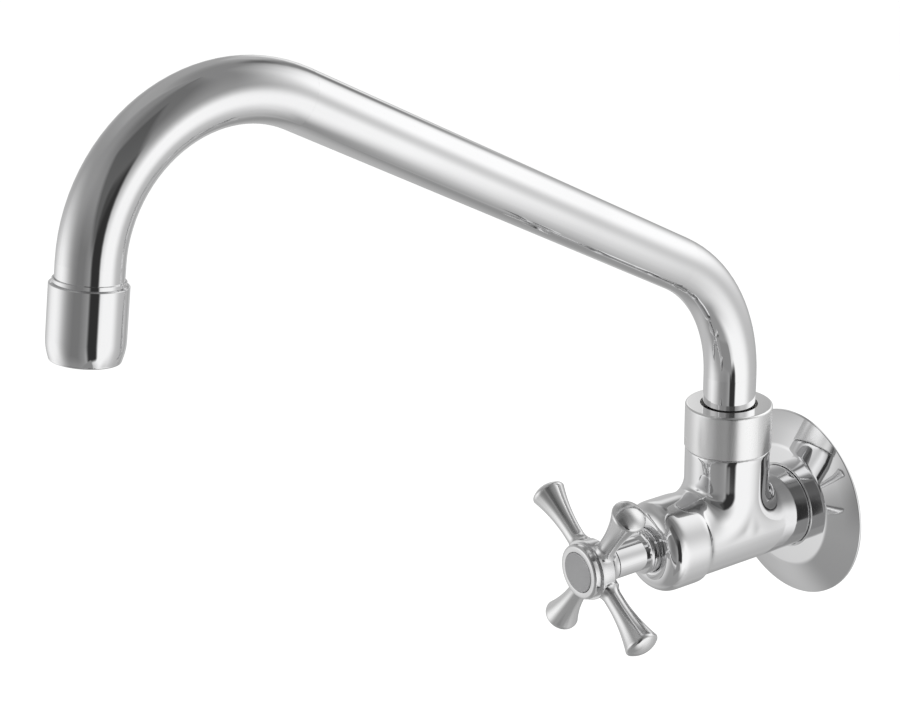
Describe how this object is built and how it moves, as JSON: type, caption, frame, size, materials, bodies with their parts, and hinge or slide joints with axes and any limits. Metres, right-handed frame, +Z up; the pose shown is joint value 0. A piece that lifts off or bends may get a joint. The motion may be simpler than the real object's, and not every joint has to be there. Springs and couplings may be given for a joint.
{
  "type": "wall faucet",
  "caption": "Commercial wall faucet: a screw-down valve in a cast tee on a round wall flange, with a cross handle and a long bent spout that swings on the neck and ends in an aerator.",
  "frame": {"origin": "centre of the wall flange's back, in the wall plane and on the axis of the inlet", "axes": "+Y into the wall along the inlet pipe, so the tap stands out towards -Y; +Z up; +X to the right of someone who faces the wall"},
  "size_m": [0.072, 0.3168, 0.2401],
  "materials": {
    "chrome": "polished",
    "satin_chrome": "satin",
    "brass": "machined",
    "steel": "brushed",
    "seal_rubber": "matte",
    "cap_grey": "satin",
    "white_plastic": "matte",
    "fibre": "matte"
  },
  "bodies": {
    "tap": {"wall_flange": "chrome", "tap_body": "chrome", "inlet_nipple": "brass", "seat_gasket": "fibre", "valve_seat": "brass", "bonnet": "chrome", "bonnet_seal": "seal_rubber", "bonnet_sleeve": "chrome", "thrust_washer": "white_plastic", "spout_nut": "chrome", "slip_ring": "white_plastic"},
    "spout": {"spout_end": "brass", "spout_seals": "seal_rubber", "spout_tube": "chrome", "outlet_fitting": "chrome", "outlet_shell": "chrome", "outlet_gasket": "seal_rubber", "outlet_insert": "white_plastic", "outlet_screen": "steel"},
    "handle_set": {"spindle": "brass", "stem_seals": "seal_rubber", "spindle_clip": "steel", "handle": "satin_chrome", "handle_lock_washer": "steel", "handle_screw": "steel", "index_cap": "cap_grey"},
    "carrier_set": {"valve_carrier": "brass", "valve_washer": "seal_rubber", "washer_screw": "brass"}
  },
  "joints": [
    {"name": "spout_swivel", "type": "hinge", "parent": "tap", "child": "spout", "pos_m": [0, -0.0345, 0], "axis": [0, 0, 1], "range_deg": [-94.5, 85.5]},
    {"name": "handle_turn", "type": "hinge", "parent": "tap", "child": "handle_set", "pos_m": [0, -0.0967, 0], "axis": [0, -1, 0], "range_deg": [0, 540]},
    {"name": "valve_lift", "type": "slide", "parent": "tap", "child": "carrier_set", "axis": [0, -1, 0], "range_m": [0, 0.0045]}
  ],
  "couplings": [
    {"joint": "valve_lift", "follows": "handle_turn", "m_per_rad": 0.00047746}
  ]
}
